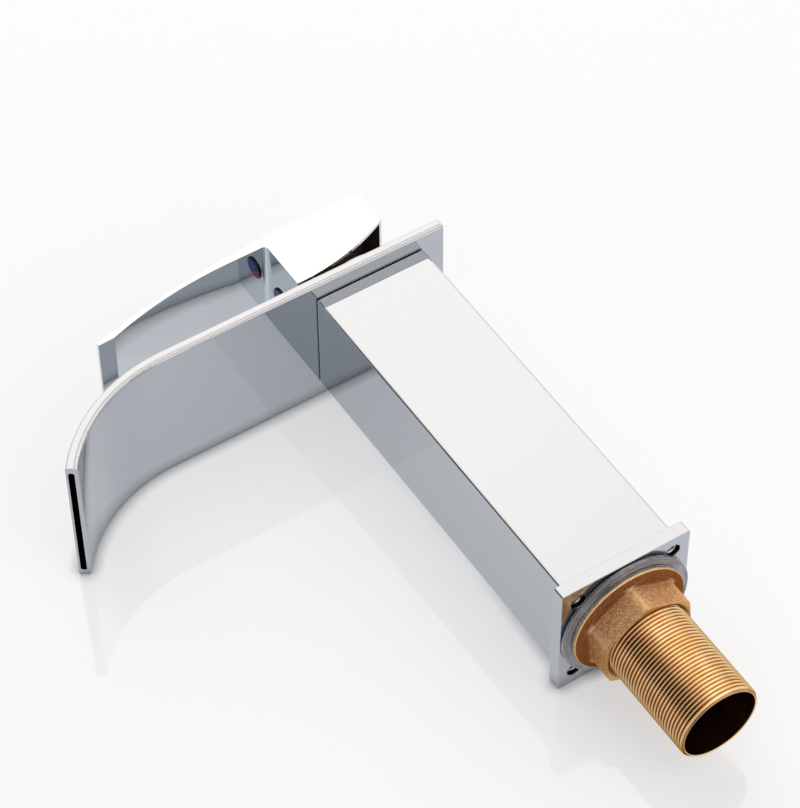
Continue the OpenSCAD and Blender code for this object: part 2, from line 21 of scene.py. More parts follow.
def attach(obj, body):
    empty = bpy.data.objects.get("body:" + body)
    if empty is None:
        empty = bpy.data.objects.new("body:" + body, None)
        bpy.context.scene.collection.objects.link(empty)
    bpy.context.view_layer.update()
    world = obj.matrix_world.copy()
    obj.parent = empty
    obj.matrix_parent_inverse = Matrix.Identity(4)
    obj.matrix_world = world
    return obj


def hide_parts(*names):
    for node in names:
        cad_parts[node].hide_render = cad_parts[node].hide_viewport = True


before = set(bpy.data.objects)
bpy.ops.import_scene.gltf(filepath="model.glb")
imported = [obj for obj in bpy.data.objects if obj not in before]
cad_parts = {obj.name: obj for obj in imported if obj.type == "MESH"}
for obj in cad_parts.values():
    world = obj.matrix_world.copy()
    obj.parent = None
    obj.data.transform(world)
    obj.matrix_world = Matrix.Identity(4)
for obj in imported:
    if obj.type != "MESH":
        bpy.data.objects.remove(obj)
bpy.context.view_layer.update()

Tree = bpy.types.NodeTree
Node = bpy.types.Node
Source = Node | bpy.types.NodeSocket
Material = bpy.types.Material
Piece = bpy.types.Object

LOG = logging.getLogger("faucet")
MM = 0.001
TURN = 2.0 * math.pi
SIXTH = TURN / 6.0  # angle of one side of a hexagon
STRAIGHT = 1.56  # half of a corner's angle, in radians, from which it counts as straight
NOISE_RANGE = (0.3, 0.7)  # where most of a noise pattern's values lie
POLE_R = 0.02  # radius of the ring of points at a pole, which is sewn into one
POLE_MERGE = 0.03  # distance that sews a pole
SCREW_OFFSET = 19.5  # of the flange's screws from its middle, along X and along Y


class Slot(Enum):
    """Material slots of the record, one passed along with each new piece."""

    CHROME = "chrome_body"
    SHANK = "shank_brass"
    NUT = "nut_brass"
    SILICONE = "silicone"
    SCREW = "screw_steel"
    INDEX = "index_plastic"


# Colour and node helpers

def linear(colour: str) -> tuple[float, float, float, float]:
    """Turns an sRGB hex colour, such as "#C0C0C0", into linear light with an alpha of one."""
    parts = [int(colour[i:i + 2], 16) / 255.0 for i in (1, 3, 5)]
    light = [p / 12.92 if p <= 0.04045 else ((p + 0.055) / 1.055) ** 2.4 for p in parts]
    return (*light, 1.0)


def per_mm(size_mm: float) -> float:
    """Texture scale at which one cell of a pattern is as long as a real size in millimetres."""
    return 1.0 / (size_mm * MM)


def fresh_tree(block: Material | bpy.types.World) -> Tree:
    """Gives a material or a world an empty node tree."""
    block.use_nodes = True
    block.node_tree.nodes.clear()
    return block.node_tree


def node(tree: Tree, kind: str, settings: Optional[dict[Any, Any]] = None,
         links: Optional[dict[Any, Source]] = None) -> Node:
    """Adds one node, sets its properties and sockets, and links its inputs.

    Args:
        tree: the node tree that gets the node.
        kind: the node's type, such as "ShaderNodeBump".
        settings: values by socket name, socket number or property name.
        links: sources of the inputs, by socket name or number. A node stands for the first
            of its outputs that is in use.

    Returns:
        The new node.
    """
    made = tree.nodes.new(kind)
    for key, value in (settings or {}).items():
        if isinstance(key, str) and key not in made.inputs:
            setattr(made, key, value)
        else:
            made.inputs[key].default_value = value
    for key, source in (links or {}).items():
        if isinstance(source, Node):
            source = next(socket for socket in source.outputs if socket.enabled)
        tree.links.new(source, made.inputs[key])
    return made


# Finishes

@dataclass(frozen=True)
class Finish:
    """Base of the finishes: a named material whose patterns lie on the piece's own coordinates."""

    name: str

    def clouds(self, tree: Tree, place: Source, size_mm: float, low: float = 0.0,
               high: float = 1.0, detail: float = 3.0, roughness: float = 0.55) -> Node:
        """Cloudy pattern of a real size whose middle range is spread from low to high.

        Args:
            tree: the material's node tree.
            place: coordinates that the pattern lies on.
            size_mm: size of its largest clouds in millimetres.
            low: value of the pattern's low parts.
            high: value of its high parts.
            detail: octaves of finer clouds.
            roughness: how strong the finer clouds are.

        Returns:
            The pattern's last node.
        """
        pattern = node(tree, "ShaderNodeTexNoise",
                       {"Scale": per_mm(size_mm), "Detail": detail, "Roughness": roughness},
                       {"Vector": place})
        return node(tree, "ShaderNodeMapRange",
                    {"From Min": NOISE_RANGE[0], "From Max": NOISE_RANGE[1],
                     "To Min": low, "To Max": high}, {"Value": pattern})

    def shader(self, tree: Tree, place: Source) -> Node:
        """Builds the finish's shader; each finish has its own."""
        raise NotImplementedError

    def material(self) -> Material:
        """Makes the material with its coordinates, its shader and its output."""
        material = bpy.data.materials.new(self.name)
        tree = fresh_tree(material)
        place = node(tree, "ShaderNodeTexCoord").outputs["Object"]
        node(tree, "ShaderNodeOutputMaterial", links={"Surface": self.shader(tree, place)})
        return material


@dataclass(frozen=True)
class PolishedChrome(Finish):
    """Bright chrome plate over buffed brass: a cool mirror with the buffing's faint sway."""

    name: str = "chrome_plate_polished"
    colour: str = "#B5BAC1"
    roughness: tuple[float, float] = (0.01, 0.03)
    sway_mm: float = 24.0
    sway_depth_mm: float = 0.012
    haze_mm: float = 9.0
    edge_mm: float = 0.5
    edge_rays: int = 6
    # colour and roughness of a dull painted shade, used where a finish gives it a share
    bare: str = "#40332E"
    shade_roughness: float = 0.55

    def painted_shade_share(self, tree: Tree, place: Source) -> Optional[Node]:
        """Share of the surface that gets a dull painted shade: none on a plain casting."""
        return None

    def shader(self, tree: Tree, place: Source) -> Node:
        """Builds the mirror, with eased edges, sway and haze, and a dull painted shade where its
        share lies.
        """
        edges = node(tree, "ShaderNodeBevel",
                     {"samples": self.edge_rays, "Radius": self.edge_mm * MM})
        sway = node(tree, "ShaderNodeBump", {"Distance": self.sway_depth_mm * MM},
                    {"Height": self.clouds(tree, place, self.sway_mm, detail=1.0),
                     "Normal": edges})
        haze = self.clouds(tree, place, self.haze_mm, *self.roughness, detail=4.0)
        links = {"Roughness": haze, "Normal": sway}
        # painted shade: where the share lies, the mirror turns dull and dark
        share = self.painted_shade_share(tree, place)
        if share is not None:
            links["Base Color"] = node(tree, "ShaderNodeMix", {
                "data_type": "RGBA", 6: linear(self.colour), 7: linear(self.bare)}, {0: share})
            links["Roughness"] = node(tree, "ShaderNodeMix", {3: self.shade_roughness},
                                      {0: share, 2: haze})
        return node(tree, "ShaderNodeBsdfPrincipled",
                    {"Base Color": linear(self.colour), "Metallic": 1.0}, links)


@dataclass(frozen=True)
class FlangeChrome(PolishedChrome):
    """Chrome on the flange: the deep screw wells get a dull dark painted shade."""

    name: str = "chrome_plate_on_flange"
    edge_mm: float = 0.4
    well_r: tuple[float, float] = (3.25, 3.4)
    well_z: tuple[float, float] = (0.1, 0.5)
    # dark colour of the painted shade in the screw wells
    bare: str = "#2B2523"

    def painted_shade_share(self, tree: Tree, place: Source) -> Optional[Node]:
        """Share of painted shade in the wells: near the nearest screw's axis and above the
        underside's plane.
        """
        offset = SCREW_OFFSET * MM
        flat = node(tree, "ShaderNodeVectorMath",
                    {"operation": "MULTIPLY", 1: (1.0, 1.0, 0.0)}, {0: place})
        folded = node(tree, "ShaderNodeVectorMath", {"operation": "ABSOLUTE"}, {0: flat})
        away = node(tree, "ShaderNodeVectorMath",
                    {"operation": "DISTANCE", 1: (offset, offset, 0.0)}, {0: folded})
        near = node(tree, "ShaderNodeMapRange",
                    {"From Min": self.well_r[1] * MM, "From Max": self.well_r[0] * MM},
                    {"Value": away})
        height = node(tree, "ShaderNodeSeparateXYZ", links={0: place})
        deep = node(tree, "ShaderNodeMapRange",
                    {"From Min": self.well_z[0] * MM, "From Max": self.well_z[1] * MM},
                    {"Value": height.outputs["Z"]})
        return node(tree, "ShaderNodeMath", {"operation": "MULTIPLY"}, {0: near, 1: deep})


@dataclass(frozen=True)
class HandleChrome(PolishedChrome):
    """Chrome on the handle: the block's hollow gets a dull brown painted shade."""

    name: str = "chrome_plate_on_handle"
    colour: str = "#D8DDE3"
    edge_mm: float = 0.45
    hollow_middle: tuple[float, float, float] = (0.0, -2.0, 174.0)
    hollow_half: tuple[float, float, float] = (19.2, 20.3, 22.6)
    hollow_fade: tuple[float, float] = (0.999, 1.003)
    # dull brown colour of the painted shade inside the hollow
    bare: str = "#8E7A6E"
    shade_roughness: float = 0.6

    def painted_shade_share(self, tree: Tree, place: Source) -> Optional[Node]:
        """Share of painted shade inside the hollow: the largest of the three distances, over its
        half size.
        """
        middle = tuple(value * MM for value in self.hollow_middle)
        centred = node(tree, "ShaderNodeVectorMath", {"operation": "SUBTRACT", 1: middle},
                       {0: place})
        scale = tuple(per_mm(value) for value in self.hollow_half)
        folded = node(tree, "ShaderNodeVectorMath", {"operation": "ABSOLUTE"}, {0: centred})
        shares = node(tree, "ShaderNodeVectorMath", {"operation": "MULTIPLY", 1: scale},
                      {0: folded})
        parts = node(tree, "ShaderNodeSeparateXYZ", links={0: shares})
        side = node(tree, "ShaderNodeMath", {"operation": "MAXIMUM"},
                    {0: parts.outputs["X"], 1: parts.outputs["Y"]})
        most = node(tree, "ShaderNodeMath", {"operation": "MAXIMUM"},
                    {0: side, 1: parts.outputs["Z"]})
        return node(tree, "ShaderNodeMapRange",
                    {"From Min": self.hollow_fade[1], "From Max": self.hollow_fade[0]},
                    {"Value": most})


@dataclass(frozen=True)
class BareBrass(Finish):
    """Bare brass, turned or cast: warm metal with a grain, stains and layers: tarnished patches,
    wear, painted shade and painted highlight.

    Each layer is a mask of the piece and its colour, mixed in. A layer without a mask is dark
    specks, multiplied on.
    """

    bright: str
    dull: str
    roughness: tuple[float, float]
    grain_mm: float
    grain_depth_mm: float
    stain_mm: float
    edge_tint: str = "#E9C08C"
    layers: tuple[tuple[Optional[str], str], ...] = ()
    speck_grains: float = 0.7

    def shader(self, tree: Tree, place: Source) -> Node:
        """Builds the metal with its stains, its layers in order and its grain."""
        colour = node(tree, "ShaderNodeMix",
                      {"data_type": "RGBA", 6: linear(self.dull), 7: linear(self.bright)},
                      {0: self.clouds(tree, place, self.stain_mm, detail=5.0)})
        grain = self.clouds(tree, place, self.grain_mm, roughness=0.65)
        for mask, tint in self.layers:
            if mask is None:
                blend = "MULTIPLY"
                share = self.clouds(tree, place, self.speck_grains * self.grain_mm, 1.0, 0.0, 2.0)
            else:
                blend = "MIX"
                share = node(tree, "ShaderNodeAttribute",
                             {"attribute_name": mask}).outputs["Fac"]
            colour = node(tree, "ShaderNodeMix",
                          {"data_type": "RGBA", "blend_type": blend, 7: linear(tint)},
                          {0: share, 6: colour})
        relief = node(tree, "ShaderNodeBump", {"Distance": self.grain_depth_mm * MM},
                      {"Height": grain})
        haze = node(tree, "ShaderNodeMapRange",
                    {"To Min": self.roughness[0], "To Max": self.roughness[1]}, {"Value": grain})
        return node(tree, "ShaderNodeBsdfPrincipled",
                    {"Metallic": 1.0, "Specular Tint": linear(self.edge_tint)},
                    {"Base Color": colour, "Roughness": haze, "Normal": relief})


@dataclass(frozen=True)
class Silicone(Finish):
    """Moulded translucent silicone: clear and glossy, faintly blue, with milky clouds inside."""

    name: str = "silicone_translucent_moulded"
    clear: str = "#CCD0DE"
    milky: str = "#80838F"
    cloud_mm: float = 7.0
    sway_mm: float = 9.0
    sway_depth_mm: float = 0.02
    haze_mm: float = 2.0
    roughness: tuple[float, float] = (0.03, 0.08)

    def shader(self, tree: Tree, place: Source) -> Node:
        """Builds the clear body with its clouds, soft relief and glossy skin."""
        colour = node(tree, "ShaderNodeMix",
                      {"data_type": "RGBA", 6: linear(self.milky), 7: linear(self.clear)},
                      {0: self.clouds(tree, place, self.cloud_mm)})
        relief = node(tree, "ShaderNodeBump", {"Distance": self.sway_depth_mm * MM},
                      {"Height": self.clouds(tree, place, self.sway_mm, detail=1.0)})
        return node(tree, "ShaderNodeBsdfPrincipled",
                    {"IOR": 1.41, "Transmission Weight": 0.78, "Coat Weight": 1.0,
                     "Coat Roughness": 0.02},
                    {"Base Color": colour, "Normal": relief,
                     "Roughness": self.clouds(tree, place, self.haze_mm, *self.roughness)})


@dataclass(frozen=True)
class Moulded(Finish):
    """Moulded plastic, rubber or lapped ceramic: an even body colour with fine specks."""

    colour: str
    speck: str
    roughness: float
    ior: float
    grain_mm: float
    grain_depth_mm: float
    subsurface: float = 0.0
    subsurface_mm: float = 1.0
    haze_grains: float = 6.0
    haze_share: float = 0.15

    def shader(self, tree: Tree, place: Source) -> Node:
        """Builds the body with its specks, a slightly uneven gloss and a moulded grain."""
        specks = self.clouds(tree, place, self.grain_mm, detail=4.0, roughness=0.7)
        colour = node(tree, "ShaderNodeMix",
                      {"data_type": "RGBA", 6: linear(self.speck), 7: linear(self.colour)},
                      {0: specks})
        relief = node(tree, "ShaderNodeBump", {"Distance": self.grain_depth_mm * MM},
                      {"Height": specks})
        haze = self.clouds(tree, place, self.haze_grains * self.grain_mm,
                           (1.0 - self.haze_share) * self.roughness,
                           (1.0 + self.haze_share) * self.roughness)
        return node(tree, "ShaderNodeBsdfPrincipled",
                    {"IOR": self.ior, "Subsurface Weight": self.subsurface,
                     "Subsurface Scale": self.subsurface_mm * MM},
                    {"Base Color": colour, "Normal": relief, "Roughness": haze})


@dataclass(frozen=True)
class TurnedSteel(Finish):
    """Stainless steel, turned: tool marks finer along the axis than round it, a satin gloss."""

    name: str = "stainless_steel_turned"
    colour: str = "#C4C5C7"
    ring_mm: float = 0.25
    ring_depth_mm: float = 0.01
    stretch: float = 6.0
    roughness: tuple[float, float] = (0.16, 0.3)

    def shader(self, tree: Tree, place: Source) -> Node:
        """Builds the metal with its tool marks as relief and as haze."""
        stretched = node(tree, "ShaderNodeMapping", {"Scale": (1.0, 1.0, self.stretch)},
                         {"Vector": place})
        rings = self.clouds(tree, stretched, self.ring_mm, detail=2.0)
        relief = node(tree, "ShaderNodeBump", {"Distance": self.ring_depth_mm * MM},
                      {"Height": rings})
        haze = node(tree, "ShaderNodeMapRange",
                    {"To Min": self.roughness[0], "To Max": self.roughness[1]}, {"Value": rings})
        return node(tree, "ShaderNodeBsdfPrincipled",
                    {"Base Color": linear(self.colour), "Metallic": 1.0},
                    {"Roughness": haze, "Normal": relief})


Finishes = tuple[tuple[Finish, tuple[str, ...]], ...]  # finishes, each with its nodes


# Surfaces

class Surface:
    """Turned grids of points in millimetres, made into quads and sewn into one closed mesh."""

    def __init__(self, name: str, **masks: np.ndarray) -> None:
        """Starts an empty surface under the piece's name, with masks of a value per point."""
        self.name = name
        self.masks = masks
        self.points: list[np.ndarray] = []
        self.quads: list[np.ndarray] = []
        self.count = 0

    def patch(self, grid: np.ndarray, hoop: bool = False) -> "Surface":
        """Adds a grid of points as quads and joins its last column to the first.

        Args:
            grid: rows by columns by three coordinates in millimetres.
            hoop: joins the last row to the first too, as on a ring.

        Returns:
            The surface, so that calls can be chained.
        """
        rows, columns = grid.shape[:2]
        index = np.arange(rows * columns).reshape(rows, columns) + self.count
        if hoop:
            index = np.vstack([index, index[:1]])
        index = np.hstack([index, index[:, :1]])
        self.points.append(grid.reshape(-1, 3))
        self.quads.append(np.stack([index[:-1, :-1], index[:-1, 1:], index[1:, 1:],
                                    index[1:, :-1]], axis=-1).reshape(-1, 4))
        self.count += rows * columns
        return self

    def build(self, sharp_degrees: float, merge_mm: float = 0.001) -> Piece:
        """Writes the mesh, sews its seams and turns its faces outwards.

        Args:
            sharp_degrees: edges that turn by more than this stay crisp.
            merge_mm: distance under which points are sewn together.

        Returns:
            The piece's object, at the origin.
        """
        points = np.concatenate(self.points) * MM
        quads = np.concatenate(self.quads)
        mesh = bpy.data.meshes.new(self.name)
        mesh.vertices.add(len(points))
        mesh.vertices.foreach_set("co", points.astype(np.float32).ravel())
        mesh.loops.add(quads.size)
        mesh.loops.foreach_set("vertex_index", quads.astype(np.int32).ravel())
        mesh.polygons.add(len(quads))
        mesh.polygons.foreach_set("loop_start", np.arange(0, quads.size, 4, dtype=np.int32))
        for name, values in self.masks.items():
            attribute = mesh.attributes.new(name, "FLOAT", "POINT")
            attribute.data.foreach_set("value", values.astype(np.float32).ravel())
        mesh.update(calc_edges=True)
        mesh.validate()
        sew(mesh, merge_mm)
        mesh.shade_smooth()
        mesh.set_sharp_from_angle(angle=math.radians(sharp_degrees))
        piece = bpy.data.objects.new(self.name, mesh)
        bpy.context.scene.collection.objects.link(piece)
        return piece


def sew(mesh: bpy.types.Mesh, merge_mm: float) -> None:
    """Merges doubled points, drops faces without area and turns the faces outwards."""
    shell = bmesh.new()
    shell.from_mesh(mesh)
    bmesh.ops.remove_doubles(shell, verts=shell.verts, dist=merge_mm * MM)
    bmesh.ops.dissolve_degenerate(shell, edges=shell.edges, dist=0.1 * merge_mm * MM)
    bmesh.ops.recalc_face_normals(shell, faces=shell.faces)
    shell.to_mesh(mesh)
    shell.free()


def turned(profile: np.ndarray, columns: int,
           radius: Optional[Callable[..., np.ndarray]] = None) -> np.ndarray:
    """Turns a profile about Z: x = r cos u, y = r sin u, with z from the profile.

    Args:
        profile: points of radius and height, in millimetres.
        columns: steps round the axis.
        radius: new radius as a function of the arrays of radius, angle and height.

    Returns:
        A grid with a row for each profile point and a column for each step.
    """
    steps = np.linspace(0.0, TURN, columns, endpoint=False)
    reach, angle, height = np.broadcast_arrays(profile[:, :1], steps, profile[:, 1:2])
    if radius is not None:
        reach = radius(reach, angle, height)
    return np.stack([reach * np.cos(angle), reach * np.sin(angle), height], axis=-1)


def rounded(corners: list[tuple[float, float, float]], steps: int = 5) -> np.ndarray:
    """Rounds the corners of an open line.

    Each corner is a circular arc of its own radius that touches both legs: the arc's ends lie
    at radius times the tangent of half the turn from the corner.

    Args:
        corners: points as two coordinates and the radius of the round there.
        steps: points on each round.

    Returns:
        The line's points, two coordinates each.
    """
    points = np.array([c[:2] for c in corners], float)
    line = [points[:1]]
    for before, here, after, corner in zip(points[:-2], points[1:-1], points[2:], corners[1:-1]):
        one, two = before - here, after - here
        one, two = one / np.linalg.norm(one), two / np.linalg.norm(two)
        half = 0.5 * math.acos(float(np.clip(one @ two, -1.0, 1.0)))
        if corner[2] <= 0.0 or half > STRAIGHT:
            line.append(here[None, :])
            continue
        middle = here + (one + two) / np.linalg.norm(one + two) * corner[2] / math.sin(half)
        start = here + one * corner[2] / math.tan(half) - middle
        end = here + two * corner[2] / math.tan(half) - middle
        share = np.linspace(0.0, 1.0, steps)[:, None]
        sweep = math.pi - 2.0 * half
        arc = (np.sin((1.0 - share) * sweep) * start + np.sin(share * sweep) * end)
        line.append(middle + arc / math.sin(sweep))
    line.append(points[-1:])
    return np.concatenate(line)


def dense(line: np.ndarray, step_mm: float) -> np.ndarray:
    """Puts points on a line's long legs, evenly, so that no leg is longer than a step.

    Args:
        line: points of two coordinates.
        step_mm: longest leg in millimetres.

    Returns:
        The line with the points added.
    """
    legs = np.diff(line, axis=0)
    counts = np.maximum(1, np.ceil(np.hypot(legs[:, 0], legs[:, 1]) / step_mm)).astype(int)
    start = np.repeat(np.arange(len(legs)), counts)
    before = np.repeat(np.cumsum(counts) - counts, counts)
    share = (np.arange(counts.sum()) - before) / counts[start]
    return np.vstack([line[start] + legs[start] * share[:, None], line[-1:]])


def unit(values: np.ndarray) -> np.ndarray:
    """Values held between zero and one."""
    return np.clip(values, 0.0, 1.0)


def eased(share: np.ndarray) -> np.ndarray:
    """Smooth step of a share: three times its square less twice its cube."""
    return share * share * (3.0 - 2.0 * share)


def wavy(points: np.ndarray, wave_mm: float, seed: int, waves: int = 28) -> np.ndarray:
    """Random smooth field, mostly between minus one and one: a sum of plane waves.

    Each wave is the sine of the point's distance along a random direction, in turns of the
    wavelength, plus a random phase. The sum is divided by twice the root of half their number.

    Args:
        points: coordinates in millimetres, three in the last axis.
        wave_mm: mean wavelength in millimetres.
        seed: makes the same field each time.
        waves: number of waves.

    Returns:
        The field, one value for each point.
    """
    draw = np.random.default_rng(seed)
    way = draw.normal(size=(waves, 3))
    way /= np.linalg.norm(way, axis=1, keepdims=True)
    stretch = draw.uniform(0.7, 1.5, waves)
    phase = draw.uniform(0.0, TURN, waves)
    angle = points @ (way * (stretch * TURN / wave_mm)[:, None]).T + phase
    return np.sin(angle).sum(axis=-1) / math.sqrt(0.5 * waves) * 0.5


def pushed(grid: np.ndarray, out: np.ndarray) -> np.ndarray:
    """A grid with its points moved straight away from Z, each by its own length."""
    flat = grid[..., :2]
    flat = flat + flat / np.hypot(grid[..., :1], grid[..., 1:2]) * out[..., None]
    return np.concatenate([flat, grid[..., 2:]], axis=-1)


def dress(piece: Piece, *materials: Material) -> Piece:
    """Puts materials in a new piece's slots, in order."""
    for material in materials:
        piece.data.materials.append(material)
    return piece


def dress_nodes(finishes: Finishes) -> None:
    """Gives CAD nodes their finish in each of their material slots."""
    for finish, names in finishes:
        material = finish.material()
        for name in names:
            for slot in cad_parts[name].material_slots:
                slot.material = material
            LOG.info("node %s: %s", name, material.name)


def place(piece: Piece, body: str, replaced: str, slot: Slot) -> None:
    """Makes a piece ride on a body and stand for a node, and reports it."""
    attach(piece, body)
    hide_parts(replaced)
    LOG.info("piece %s: rides on %s, replaces %s, %d faces",
             piece.name, body, replaced, len(piece.data.polygons))


def thread_relief(angle: np.ndarray, height: np.ndarray, pitch: float,
                  crest_share: float = 0.18, root_share: float = 0.12) -> np.ndarray:
    """Depth share of a right-hand thread: one at the crest and zero at the root.

    The phase is the height over the pitch less the angle over a turn, taken to its fraction;
    the flanks rise and fall straight between a flat crest and a flat root, and are eased.

    Args:
        angle: angle about the axis, in radians.
        height: height along the axis, in millimetres.
        pitch: rise of one turn, in millimetres.
        crest_share: share of the pitch that the crest's flat takes.
        root_share: share of the pitch that the root's flat takes.

    Returns:
        The share for each point.
    """
    phase = np.mod(height / pitch - angle / TURN, 1.0)
    away = np.abs(phase - 0.5) * 2.0
    share = unit((1.0 - root_share - away) / (1.0 - root_share - crest_share))
    return 0.5 * (eased(share) + share)


# Sub-assemblies

@dataclass
class Mounting:
    """Threaded shank, cast nut, silicone ring and flange screws below the column."""

    shank_r: float = 16.0
    bore_r: float = 14.6
    shank_low: float = -56.0
    shank_top: float = 11.0
    thread_top: float = -1.0
    pitch: float = 1.5
    thread_depth: float = 0.9
    rows_per_pitch: int = 10
    shank_columns: int = 192
    bore_rows: int = 24
    chamfer_slope: float = 0.9
    groove_tarnish: float = 0.75
    bore_tarnish: float = 0.6
    # painted shade on one side of the thread: where it starts and ends round the axis, and its
    # strength
    shade_side_from: tuple[float, float] = (-178.0, 25.0)  # angle and fade, in degrees
    shade_side_to: tuple[float, float] = (-8.0, 24.0)
    shade_side_share: tuple[float, float, float] = (0.24, 0.45, 0.05)  # even, in grooves, random
    shade_side_mm: float = 9.0
    nut_top: float = -3.0
    nut_low: float = -15.4
    nut_rim_r: float = 23.0
    nut_flat_r: float = 17.4
    nut_corner_r: float = 19.6
    nut_bore_r: float = 16.05
    nut_rim_t: float = 0.9
    nut_cone_t: float = 1.2
    nut_angle: float = -5.0
    nut_columns: int = 360
    nut_round_power: float = 34.0
    nut_skin: tuple[tuple[float, int, float], ...] = (
        (2.6, 11, 0.05), (0.9, 12, 0.022))  # wavelength, seed and depth
    nut_thread_depth: float = 0.5
    # wear with painted highlight: the hexagon's corners, the rim's outer edge and the foot's edge
    # are lightened
    nut_wear_and_highlight: tuple[float, float] = (0.48, 0.6)  # at the corners and the foot; one at the rim
    nut_wear_and_highlight_from: float = 0.72  # share of a flat's half at which a corner's wear starts
    nut_wear_and_highlight_uneven: tuple[float, float] = (0.85, 0.3)  # even, random
    nut_wear_and_highlight_mm: float = 1.8
    # strength of the painted shade on the cone under the rim
    nut_cone_shade: float = 0.97
    ring_r: float = 26.3
    ring_bore_r: float = 16.4
    ring_lip_r: float = 22.8
    ring_top: float = -0.2
    ring_bead: float = -2.2
    ring_low: float = -2.8
    ring_columns: int = 288
    ring_uneven: float = 0.12
    ring_wave_mm: float = 14.0
    screw_columns: int = 48
    screw_pitch: float = 0.5
    screw_thread_depth: float = 0.28

    def shank(self) -> Piece:
        """Builds the shank: a turned tube whose outside is cut by a helical groove.

        The radius is the crest's less the depth share, held under the end's chamfer cone. The
        grooves are tarnished, and one side of the thread is darkened by painted shade in the same
        tint, more in the grooves.

        Returns:
            The shank's object.
        """
        rows = int((self.thread_top - self.shank_low) / self.pitch * self.rows_per_pitch)
        outside = np.stack([np.full(rows, self.shank_r),
                            np.linspace(self.shank_low, self.thread_top, rows)], axis=1)
        root = self.shank_r - self.thread_depth
        plain = rounded([
            (self.shank_r, self.thread_top + 0.3, 0), (self.shank_r, self.shank_top, 0.4),
            (self.bore_r, self.shank_top, 0.3), (self.bore_r, self.shank_low, 0.25),
            (root - 0.05, self.shank_low, 0)], 4)
        bore = np.linspace(self.shank_top - 1.0, self.shank_low + 1.0, self.bore_rows)[:, None]
        inside = np.hstack([np.full_like(bore, self.bore_r), bore])
        in_bore = np.isclose(plain[:, 0], self.bore_r) & (plain[:, 1] < self.shank_top)
        split = int(np.argmax(in_bore)) + 1
        profile = np.vstack([outside, plain[:split], inside, plain[split:]])
        threaded = (np.arange(len(profile)) < rows)[:, None]

        def cut(reach: np.ndarray, angle: np.ndarray, height: np.ndarray) -> np.ndarray:
            """Cuts the thread in the rows of the outside."""
            relief = thread_relief(angle, height, self.pitch)
            fade = unit((self.thread_top - height) / self.pitch)
            groove = self.shank_r - self.thread_depth * (1.0 - relief) * fade
            cone = root + (height - self.shank_low) * self.chamfer_slope
            return np.where(threaded, np.minimum(groove, cone), reach)

        grid = turned(profile, self.shank_columns, cut)
        reach = np.hypot(grid[..., 0], grid[..., 1])
        depth = unit(np.where(threaded, (self.shank_r - reach) / self.thread_depth, 0.0))
        inner = ~threaded & (profile[:, :1] < self.bore_r + 0.1)
        tarnish_and_shade = np.maximum(depth ** 1.5 * self.groove_tarnish, inner * self.bore_tarnish)
        # painted shade on one side of the thread, laid over the tarnished grooves and bore
        around = np.degrees(np.arctan2(grid[..., 1], grid[..., 0]))
        shaded_side = (unit((self.shade_side_to[0] - around) / self.shade_side_to[1])
                * unit((around - self.shade_side_from[0]) / self.shade_side_from[1]))
        even, grooves, random = self.shade_side_share
        shaded_side = shaded_side * threaded * (even + grooves * depth + random * wavy(grid, self.shade_side_mm, 31))
        tarnish_and_shade = 1.0 - (1.0 - tarnish_and_shade) * (1.0 - shaded_side)
        return Surface("shank_thread", tarnish_and_shade=tarnish_and_shade).patch(grid, hoop=True).build(60.0)

    def nut(self) -> Piece:
        """Builds the nut: rim, cone, hexagon and bore in one turned grid with a cast skin.

        A hexagon's radius is its flat's distance over the cosine of the angle to the nearest
        flat's middle; a high power mean of it and the corner's radius rounds the corners.

        Returns:
            The nut's object.
        """
        top, low, corner_r, bore_r = self.nut_top, self.nut_low, self.nut_corner_r, self.nut_bore_r
        rim_low = top - self.nut_rim_t
        shoulder = rim_low - self.nut_cone_t
        foot_rows_in_bore = 5
        line = dense(rounded([
            (bore_r + 0.5, top - 0.5, 0), (bore_r + 1.0, top, 0.2), (self.nut_rim_r, top, 0.25),
            (self.nut_rim_r, rim_low, 0.25), (corner_r + 0.5, shoulder + 0.25, 0.4),
            (corner_r, shoulder - 1.2, 0)], 5), 0.22)
        flats = np.stack([np.full(30, corner_r), np.linspace(shoulder - 1.4, low + 0.9, 30)], 1)
        foot = rounded([
            (corner_r, low + 0.8, 0), (corner_r - 0.2, low + 0.05, 0.3), (corner_r - 1.2, low, 0.3),
            (bore_r + 0.7, low, 0.1), (bore_r, low + 0.7, 0.1), (bore_r, low + 1.2, 0)], 4)
        bore = np.stack([np.full(90, bore_r), np.linspace(low + 1.3, top - 1.1, 90)], 1)
        profile = np.vstack([line, flats, foot, bore])
        outer = np.arange(len(profile))[:, None] < len(profile) - len(bore) - foot_rows_in_bore

        def shape(reach: np.ndarray, angle: np.ndarray, height: np.ndarray) -> np.ndarray:
            """Draws the rows below the cone in to the hexagon and threads the bore."""
            away = np.mod(angle - math.radians(self.nut_angle), SIXTH) - 0.5 * SIXTH
            flat = self.nut_flat_r / np.cos(away)
            power = self.nut_round_power
            hexagon = (flat ** -power + (corner_r + 0.1) ** -power) ** (-1.0 / power)
            blend = eased(unit((rim_low - height) / (self.nut_cone_t + 0.8)))
            allowed = (1.0 - blend) * self.nut_rim_r + blend * hexagon
            drawn = np.where(outer, np.minimum(reach + 0.6 * blend, allowed), reach)
            relief = self.nut_thread_depth * (1.0 - thread_relief(angle, height, self.pitch))
            return np.where(~outer & (height > low + 1.0), reach + relief, drawn)

